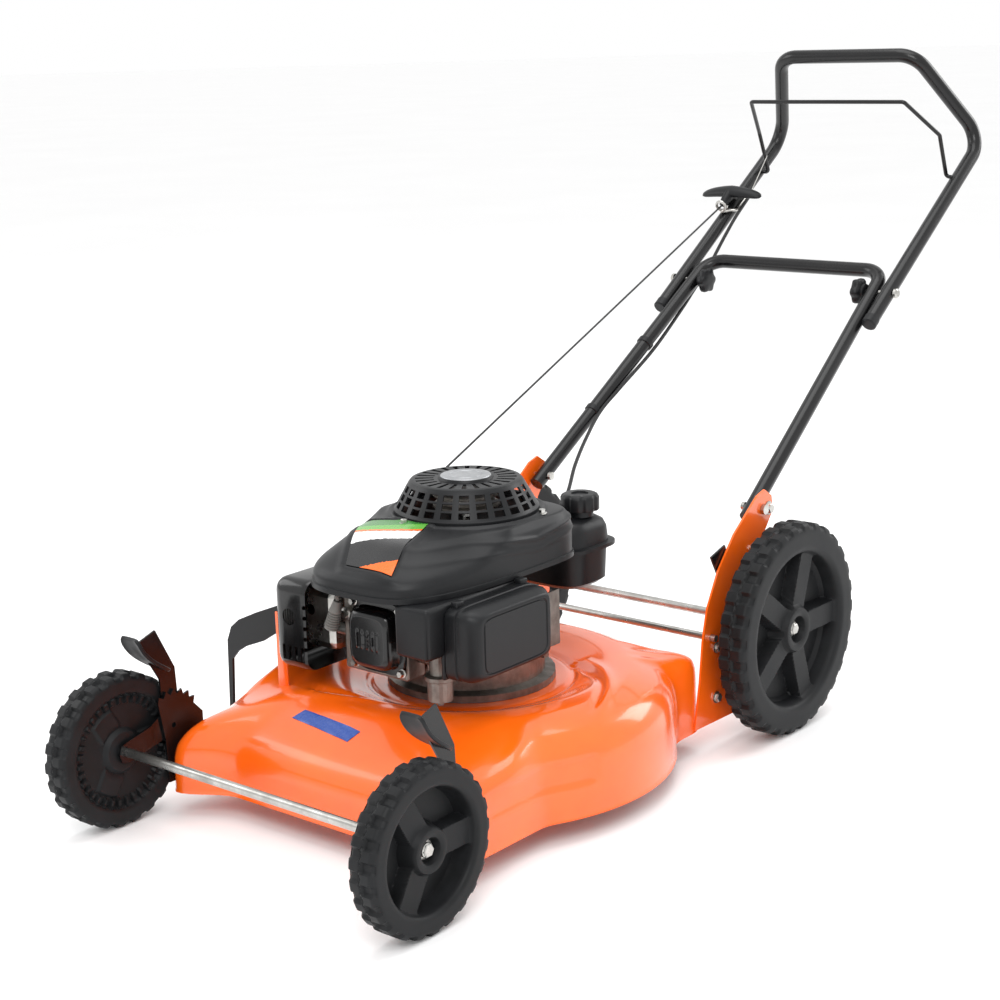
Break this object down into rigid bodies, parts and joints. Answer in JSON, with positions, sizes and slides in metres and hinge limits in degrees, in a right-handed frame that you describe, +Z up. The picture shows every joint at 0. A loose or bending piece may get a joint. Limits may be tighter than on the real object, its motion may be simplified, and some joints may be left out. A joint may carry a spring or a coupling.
{
  "type": "walk-behind rotary lawn mower",
  "caption": "Petrol rotary lawn mower: orange steel deck, vertical-shaft engine, moulded wheels, height levers, and a folding tubular handle with stop bail and rope starter.",
  "frame": {"origin": "on the ground, under the middle of the mower's overall box", "axes": "+Z up, -Y to the front of the mower, +X to the operator's left"},
  "size_m": [0.5582, 1.571, 0.9247],
  "materials": {
    "orange_paint": "gloss stove enamel",
    "black_paint": "semi-gloss powder coat",
    "black_plastic": "fine moulded texture",
    "gloss_black": "gloss black enamel",
    "wheel_plastic": "satin moulded",
    "bright_steel": "zinc plated",
    "cast_aluminium": "die cast",
    "grey_rubber": "matte",
    "cable_jacket": "satin",
    "filter_foam": "open foam"
  },
  "bodies": {
    "root": {"deck": "orange_paint", "rear_bracket_left": "orange_paint", "rear_bracket_right": "orange_paint", "front_quadrant_left": "black_paint", "front_quadrant_right": "black_paint", "lower_handle": "black_paint", "muffler_guard": "black_paint", "blower_housing": "black_plastic", "recoil_cover": "black_plastic", "air_filter_base": "black_plastic", "fuel_tank": "black_plastic", "oil_filler_tube": "black_plastic", "ignition_coil": "black_plastic", "valve_cover": "gloss_black", "rear_tie_rod": "bright_steel", "fold_bolt_left": "bright_steel", "fold_bolt_right": "bright_steel", "handle_bolt_left": "bright_steel", "handle_bolt_right": "bright_steel", "muffler": "bright_steel", "spark_plug": "bright_steel", "control_plate": "bright_steel", "crankcase": "cast_aluminium", "cylinder": "cast_aluminium", "cylinder_head": "cast_aluminium", "carburettor": "cast_aluminium", "spark_plug_boot": "grey_rubber", "ignition_lead": "grey_rubber", "stop_cable": "cable_jacket", "starter_rope": "cable_jacket", "air_filter_element": "filter_foam"},
    "front_axle_set": {"front_axle": "bright_steel", "front_lever_left": "black_paint", "front_lever_right": "black_paint"},
    "front_left_wheel": {"front_wheel_left": "wheel_plastic"},
    "front_right_wheel": {"front_wheel_right": "wheel_plastic"},
    "rear_axle_set": {"rear_axle": "bright_steel", "rear_lever_left": "black_paint", "rear_lever_right": "black_paint"},
    "rear_left_wheel": {"rear_wheel_left": "wheel_plastic"},
    "rear_right_wheel": {"rear_wheel_right": "wheel_plastic"},
    "upper_handle_set": {"upper_handle": "black_paint", "rope_guide": "bright_steel"},
    "left_knob": {"fold_knob_left": "black_plastic"},
    "right_knob": {"fold_knob_right": "black_plastic"},
    "bail_set": {"stop_bail": "black_paint", "bail_wire": "bright_steel"},
    "grip": {"starter_grip": "black_plastic"},
    "pulley": {"recoil_pulley": "cast_aluminium"},
    "crank_set": {"crankshaft": "bright_steel", "flywheel": "cast_aluminium", "blade_adapter": "bright_steel", "blade": "bright_steel", "blade_bolt": "black_paint"},
    "brake": {"brake_lever": "bright_steel"},
    "tank_cap": {"fuel_cap": "black_plastic"},
    "oil_dipstick": {"dipstick": "black_plastic"},
    "guard": {"discharge_guard": "black_plastic"},
    "filter_cover": {"air_filter_cover": "black_plastic"}
  },
  "joints": [
    {"name": "front_height", "type": "hinge", "parent": "root", "child": "front_axle_set", "pos_m": [0, -0.61055, 0.115], "axis": [1, 0, 0], "range_deg": [-19, 19]},
    {"name": "front_left_roll", "type": "hinge", "parent": "front_axle_set", "child": "front_left_wheel", "pos_m": [0.26, -0.68555, 0.1], "axis": [1, 0, 0], "continuous": true},
    {"name": "front_right_roll", "type": "hinge", "parent": "front_axle_set", "child": "front_right_wheel", "pos_m": [-0.26, -0.68555, 0.1], "axis": [1, 0, 0], "continuous": true},
    {"name": "rear_height", "type": "hinge", "parent": "root", "child": "rear_axle_set", "pos_m": [0, -0.02055, 0.157], "axis": [1, 0, 0], "range_deg": [-12, 12]},
    {"name": "rear_left_roll", "type": "hinge", "parent": "rear_axle_set", "child": "rear_left_wheel", "pos_m": [0.25, 0.09745, 0.15], "axis": [1, 0, 0], "continuous": true},
    {"name": "rear_right_roll", "type": "hinge", "parent": "rear_axle_set", "child": "rear_right_wheel", "pos_m": [-0.25, 0.09745, 0.15], "axis": [1, 0, 0], "continuous": true},
    {"name": "handle_fold", "type": "hinge", "parent": "root", "child": "upper_handle_set", "pos_m": [0, 0.48592, 0.5674], "axis": [1, 0, 0], "range_deg": [0, 150], "deforming": ["starter_rope", "stop_cable"]},
    {"name": "left_knob_turn", "type": "hinge", "parent": "root", "child": "left_knob", "pos_m": [0.14, 0.48592, 0.5674], "axis": [1, 0, 0], "continuous": true},
    {"name": "right_knob_turn", "type": "hinge", "parent": "root", "child": "right_knob", "pos_m": [-0.14, 0.48592, 0.5674], "axis": [1, 0, 0], "continuous": true},
    {"name": "bail_squeeze", "type": "hinge", "parent": "upper_handle_set", "child": "bail_set", "pos_m": [0, 0.71475, 0.7235], "axis": [-1, 0, 0], "range_deg": [0, 28], "stiffness_Nm_per_rad": 4, "springref_deg": -14.32, "deforming": ["bail_wire"]},
    {"name": "starter_pull", "type": "slide", "parent": "upper_handle_set", "child": "grip", "axis": [-0.4494, 0.3995, 0.799], "range_m": [0, 0.5], "stiffness_N_per_m": 15, "springref_m": -0.4},
    {"name": "recoil_turn", "type": "hinge", "parent": "root", "child": "pulley", "pos_m": [0, -0.28855, 0.38], "axis": [0, 0, 1], "range_deg": [0, 750]},
    {"name": "crank_turn", "type": "hinge", "parent": "root", "child": "crank_set", "pos_m": [0, -0.28855, 0.2], "axis": [0, 0, 1], "continuous": true},
    {"name": "brake_turn", "type": "hinge", "parent": "root", "child": "brake", "pos_m": [-0.052, -0.23055, 0.25], "axis": [0, 0, 1], "range_deg": [0, 8]},
    {"name": "fuel_cap_twist", "type": "hinge", "parent": "root", "child": "tank_cap", "pos_m": [0.052, -0.11305, 0.34], "axis": [0, 0, 1], "range_deg": [0, 90]},
    {"name": "dipstick_twist", "type": "hinge", "parent": "root", "child": "oil_dipstick", "pos_m": [-0.129, -0.27655, 0.27], "axis": [0, 0, 1], "range_deg": [0, 360]},
    {"name": "guard_lift", "type": "hinge", "parent": "root", "child": "guard", "pos_m": [-0.167, -0.40255, 0.233], "axis": [0, 1, 0], "range_deg": [0, 60], "stiffness_Nm_per_rad": 0.5, "springref_deg": -22.92},
    {"name": "filter_cover_open", "type": "hinge", "parent": "root", "child": "filter_cover", "pos_m": [0.1184, -0.39855, 0.204], "axis": [0, 1, 0], "range_deg": [0, 55]}
  ],
  "couplings": [
    {"joint": "recoil_turn", "follows": "starter_pull", "rad_per_m": 26},
    {"joint": "brake_turn", "follows": "bail_squeeze", "ratio": 0.261}
  ]
}
